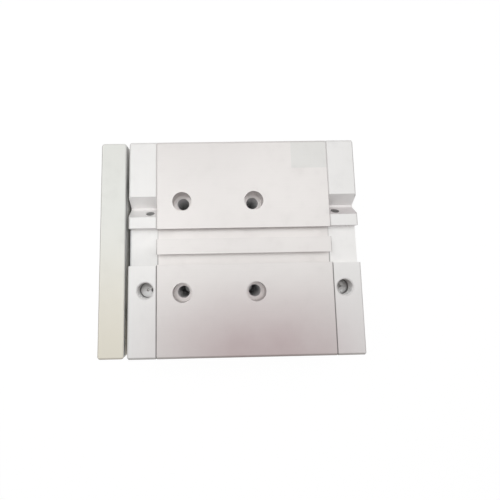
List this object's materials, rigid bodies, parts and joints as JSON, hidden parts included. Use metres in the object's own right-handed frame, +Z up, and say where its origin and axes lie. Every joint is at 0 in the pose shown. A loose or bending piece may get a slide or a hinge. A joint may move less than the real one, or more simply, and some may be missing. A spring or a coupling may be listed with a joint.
{
  "type": "guided pneumatic cylinder",
  "caption": "Compact pneumatic cylinder with guide rods beside its piston rod, a yoke plate, sensor slots and adjustable end cushioning, for straight strokes under side load.",
  "frame": {"origin": "centre of the four mounting holes, on the underside of the housing", "axes": "+X along the stroke, the way the yoke plate moves out; +Y across the width, towards the supply ports; +Z up to the face with the sensor slots"},
  "size_m": [0.1426, 0.119, 0.054],
  "materials": {
    "housing_anodised": "clear anodised, fine satin",
    "cap_anodised": "clear anodised, machined",
    "yoke_anodised": "clear anodised, matt",
    "rod_chrome": "ground and hard chromed",
    "screw_steel": "zinc plated",
    "cushion_screw_steel": "black oxide",
    "seal_rubber": "matt black",
    "bush_bronze": "sintered",
    "piston_aluminium": "turned",
    "magnet_plastic": "plastic-bonded magnet",
    "slide_plastic": "moulded"
  },
  "bodies": {
    "cylinder_body": {"housing": "housing_anodised", "bearing_cap": "cap_anodised", "end_cap": "cap_anodised", "bearing_cap_screws": "screw_steel", "end_cap_screws": "screw_steel", "port_plug_front": "screw_steel", "port_plug_rear": "screw_steel", "rod_seal": "seal_rubber", "cap_ring_front": "seal_rubber", "cap_ring_rear": "seal_rubber", "cushion_seal_front": "seal_rubber", "cushion_seal_rear": "seal_rubber", "guide_wiper_left": "seal_rubber", "guide_wiper_right": "seal_rubber", "rod_bush": "bush_bronze", "guide_bush_front_left": "bush_bronze", "guide_bush_front_right": "bush_bronze", "guide_bush_rear_left": "bush_bronze", "guide_bush_rear_right": "bush_bronze"},
    "drive": {"yoke_plate": "yoke_anodised", "piston_rod": "rod_chrome", "piston_front_half": "piston_aluminium", "piston_rear_half": "piston_aluminium", "piston_seal_front": "seal_rubber", "piston_seal_rear": "seal_rubber", "piston_guide_ring": "slide_plastic", "piston_magnet": "magnet_plastic", "piston_rod_ring": "seal_rubber", "cushion_sleeve": "piston_aluminium", "cushion_nut": "piston_aluminium", "piston_rod_screw": "screw_steel", "guide_rod_screws": "screw_steel", "guide_rod_left": "rod_chrome", "guide_rod_right": "rod_chrome"},
    "front_needle": {"cushion_screw_front": "cushion_screw_steel", "cushion_screw_ring_front": "seal_rubber"},
    "rear_needle": {"cushion_screw_rear": "cushion_screw_steel", "cushion_screw_ring_rear": "seal_rubber"}
  },
  "joints": [
    {"name": "rod_slide", "type": "slide", "parent": "cylinder_body", "child": "drive", "axis": [1, 0, 0], "range_m": [0, 0.05]},
    {"name": "cushion_screw_front_turn", "type": "hinge", "parent": "cylinder_body", "child": "front_needle", "pos_m": [0.038, -0.01895, 0.0508], "axis": [0, -0.7821, 0.6232], "range_deg": [0, 1080]},
    {"name": "cushion_screw_rear_turn", "type": "hinge", "parent": "cylinder_body", "child": "rear_needle", "pos_m": [-0.0662, -0.01895, 0.0508], "axis": [0, -0.7821, 0.6232], "range_deg": [0, 1080]}
  ]
}
